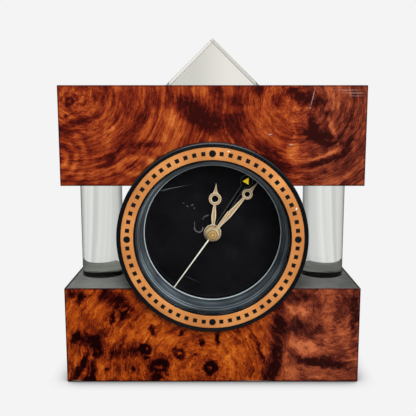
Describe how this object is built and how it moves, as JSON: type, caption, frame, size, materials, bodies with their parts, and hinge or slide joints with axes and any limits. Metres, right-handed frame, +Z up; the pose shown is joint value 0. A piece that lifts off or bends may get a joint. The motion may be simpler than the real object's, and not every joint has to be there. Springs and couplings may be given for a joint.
{
  "type": "mantel clock",
  "caption": "Mantel clock with a round quartz alarm dial held between two burl-faced blocks on clear columns, under a clear triangular roof prism.",
  "frame": {"origin": "centre of the resting face under the base felt", "axes": "+Z up, +X to the right as the dial is read, +Y into the clock so the dial faces -Y"},
  "size_m": [0.1524, 0.0687, 0.1774],
  "materials": {
    "core_black": "satin black lacquer over fibreboard",
    "burl_veneer": "high-gloss lacquered burl",
    "charcoal_laminate": "satin laminate",
    "felt": "felt",
    "clear_acrylic": "polished clear acrylic",
    "case_black": "gloss black",
    "copper_ring": "satin copper-coloured foil",
    "printed_black": "screen print",
    "lens_clear": "clear",
    "dial_black": "gloss",
    "hand_gold": "satin",
    "hand_cream": "satin",
    "alarm_black": "matt",
    "arrow_yellow": "screen print",
    "movement_black": "moulded",
    "gear_plastic": "moulded",
    "gear_brass": "cut",
    "magnet": "sintered",
    "stator_steel": "stamped",
    "copper_wire": "enamelled",
    "board_green": "solder mask",
    "crystal_can": "drawn",
    "chip_black": "resin",
    "buzzer_brass": "rolled",
    "battery_can": "printed wrap",
    "contact_spring": "nickel plated",
    "knob_black": "moulded",
    "switch_red": "moulded",
    "cover_black": "moulded, fine spark texture",
    "screw_zinc": "zinc plated"
  },
  "bodies": {
    "root": {"base_core": "core_black", "top_core": "core_black", "base_front_veneer": "burl_veneer", "base_end_veneer_left": "burl_veneer", "base_end_veneer_right": "burl_veneer", "top_front_veneer": "burl_veneer", "top_end_veneer_left": "burl_veneer", "top_end_veneer_right": "burl_veneer", "base_top_laminate_left": "charcoal_laminate", "base_top_laminate_right": "charcoal_laminate", "top_cap_laminate": "charcoal_laminate", "top_under_laminate": "charcoal_laminate", "base_felt": "felt", "column_left": "clear_acrylic", "column_right": "clear_acrylic", "roof_prism": "clear_acrylic", "drum_case": "case_black", "bezel": "case_black", "chapter_ring": "copper_ring", "minute_markers": "printed_black", "quarter_markers": "printed_black", "lens": "lens_clear", "dial": "dial_black", "movement_front_plate": "movement_black", "movement_rear_shell": "movement_black", "movement_screws": "screw_zinc", "stator": "stator_steel", "coil": "copper_wire", "circuit_board": "board_green", "quartz_crystal": "crystal_can", "driver_chip": "chip_black", "buzzer": "buzzer_brass", "battery": "battery_can", "battery_contact_positive": "contact_spring", "battery_contact_negative": "contact_spring", "rear_cover": "cover_black", "rear_cover_screws": "screw_zinc"},
    "minute": {"cannon_pinion": "gear_brass", "minute_hand": "hand_gold"},
    "minute_wheel": {"minute_wheel": "gear_plastic"},
    "hour": {"hour_wheel": "gear_plastic", "hour_hand": "hand_gold"},
    "time_set": {"time_set_gear": "gear_plastic", "time_knob": "knob_black"},
    "second": {"second_wheel": "gear_plastic", "second_hand": "hand_cream", "second_hand_cap": "hand_gold"},
    "intermediate": {"intermediate_wheel": "gear_plastic"},
    "rotor": {"rotor": "gear_plastic", "rotor_magnet": "magnet"},
    "third": {"third_wheel": "gear_plastic"},
    "centre": {"centre_wheel": "gear_brass"},
    "alarm": {"alarm_wheel": "gear_plastic", "alarm_hand": "alarm_black", "alarm_arrow": "arrow_yellow"},
    "alarm_set": {"alarm_set_gear": "gear_plastic", "alarm_knob": "knob_black"},
    "alarm_slider": {"alarm_switch": "switch_red"},
    "battery_lid": {"battery_door": "cover_black"}
  },
  "joints": [
    {"name": "minute_spin", "type": "hinge", "parent": "root", "child": "minute", "pos_m": [0, 0, 0.07705], "axis": [0, 1, 0], "continuous": true},
    {"name": "minute_wheel_spin", "type": "hinge", "parent": "root", "child": "minute_wheel", "pos_m": [0.01128, 0, 0.08115], "axis": [0, 1, 0], "continuous": true},
    {"name": "hour_spin", "type": "hinge", "parent": "root", "child": "hour", "pos_m": [0, 0, 0.07705], "axis": [0, 1, 0], "continuous": true},
    {"name": "time_set_spin", "type": "hinge", "parent": "root", "child": "time_set", "pos_m": [0.01963, 0, 0.0712], "axis": [0, 1, 0], "continuous": true},
    {"name": "second_spin", "type": "hinge", "parent": "root", "child": "second", "pos_m": [0, 0, 0.07705], "axis": [0, 1, 0], "continuous": true},
    {"name": "intermediate_spin", "type": "hinge", "parent": "root", "child": "intermediate", "pos_m": [0.0028, 0, 0.08748], "axis": [0, 1, 0], "continuous": true},
    {"name": "rotor_spin", "type": "hinge", "parent": "root", "child": "rotor", "pos_m": [0.007, 0, 0.09476], "axis": [0, 1, 0], "continuous": true},
    {"name": "third_spin", "type": "hinge", "parent": "root", "child": "third", "pos_m": [-0.00843, 0, 0.08412], "axis": [0, 1, 0], "continuous": true},
    {"name": "centre_spin", "type": "hinge", "parent": "root", "child": "centre", "pos_m": [0, 0, 0.07705], "axis": [0, 1, 0], "continuous": true},
    {"name": "alarm_spin", "type": "hinge", "parent": "root", "child": "alarm", "pos_m": [0, 0, 0.07705], "axis": [0, 1, 0], "continuous": true},
    {"name": "alarm_set_spin", "type": "hinge", "parent": "root", "child": "alarm_set", "pos_m": [-0.01353, 0, 0.07212], "axis": [0, 1, 0], "continuous": true},
    {"name": "alarm_switch_slide", "type": "slide", "parent": "root", "child": "alarm_slider", "axis": [1, 0, 0], "range_m": [0, 0.005]},
    {"name": "battery_door_slide", "type": "slide", "parent": "root", "child": "battery_lid", "axis": [0, 1, 0], "range_m": [0, 0.02]}
  ],
  "couplings": [
    {"joint": "minute_wheel_spin", "follows": "minute_spin", "ratio": -0.33333},
    {"joint": "hour_spin", "follows": "minute_spin", "ratio": 0.083333},
    {"joint": "time_set_spin", "follows": "minute_spin", "ratio": 0.75},
    {"joint": "intermediate_spin", "follows": "second_spin", "ratio": -5},
    {"joint": "rotor_spin", "follows": "second_spin", "ratio": 30},
    {"joint": "third_spin", "follows": "second_spin", "ratio": -0.13333},
    {"joint": "centre_spin", "follows": "second_spin", "ratio": 0.016667},
    {"joint": "alarm_set_spin", "follows": "alarm_spin", "ratio": -2}
  ]
}
